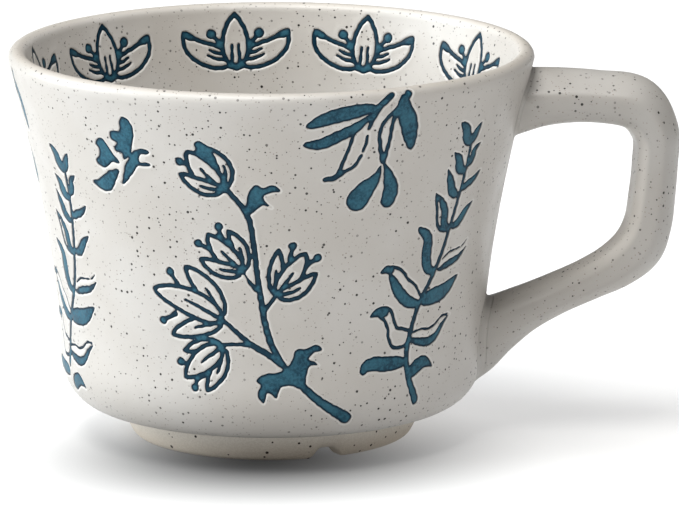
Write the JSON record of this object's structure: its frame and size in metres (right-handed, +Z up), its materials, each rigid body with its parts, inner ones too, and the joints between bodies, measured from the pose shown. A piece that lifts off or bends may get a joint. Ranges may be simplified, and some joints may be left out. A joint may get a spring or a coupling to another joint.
{
  "type": "stoneware mug",
  "caption": "Wide flared stoneware mug on a notched foot ring, with a strap handle and blue slip botanical inlays outside and a lotus band inside the rim.",
  "frame": {"origin": "under the middle of the bounding box, on the surface that the foot ring stands on", "axes": "+Z up the cup's axis, +X from the cup towards its handle, -Y the side that the main sprig of the pattern faces"},
  "size_m": [0.1406, 0.11, 0.082],
  "materials": {
    "glazed_stoneware": "satin warm white glaze with fine iron specks",
    "bare_stoneware": "matte unglazed clay",
    "blue_slip": "satin teal blue slip, darker along its edges"
  },
  "bodies": {
    "root": {"cup_body": "glazed_stoneware", "foot_ring": "bare_stoneware", "handle": "glazed_stoneware", "handle_upper_slip": "glazed_stoneware", "handle_lower_slip": "glazed_stoneware", "sprig_inlay_1": "blue_slip", "sprig_inlay_2": "blue_slip", "sprig_inlay_3": "blue_slip", "fern_inlay_1": "blue_slip", "fern_inlay_2": "blue_slip", "fern_inlay_3": "blue_slip", "branch_inlay_1": "blue_slip", "branch_inlay_2": "blue_slip", "branch_inlay_3": "blue_slip", "butterfly_body_inlay_1": "blue_slip", "butterfly_wing_inlay_1": "blue_slip", "butterfly_tail_inlay_1": "blue_slip", "butterfly_body_inlay_2": "blue_slip", "butterfly_wing_inlay_2": "blue_slip", "butterfly_tail_inlay_2": "blue_slip", "lotus_inlay_1": "blue_slip", "lotus_inlay_2": "blue_slip", "lotus_inlay_3": "blue_slip", "lotus_inlay_4": "blue_slip", "lotus_inlay_5": "blue_slip", "lotus_inlay_6": "blue_slip", "lotus_inlay_7": "blue_slip", "lotus_inlay_8": "blue_slip", "lotus_inlay_9": "blue_slip", "lotus_inlay_10": "blue_slip"}
  },
  "joints": []
}
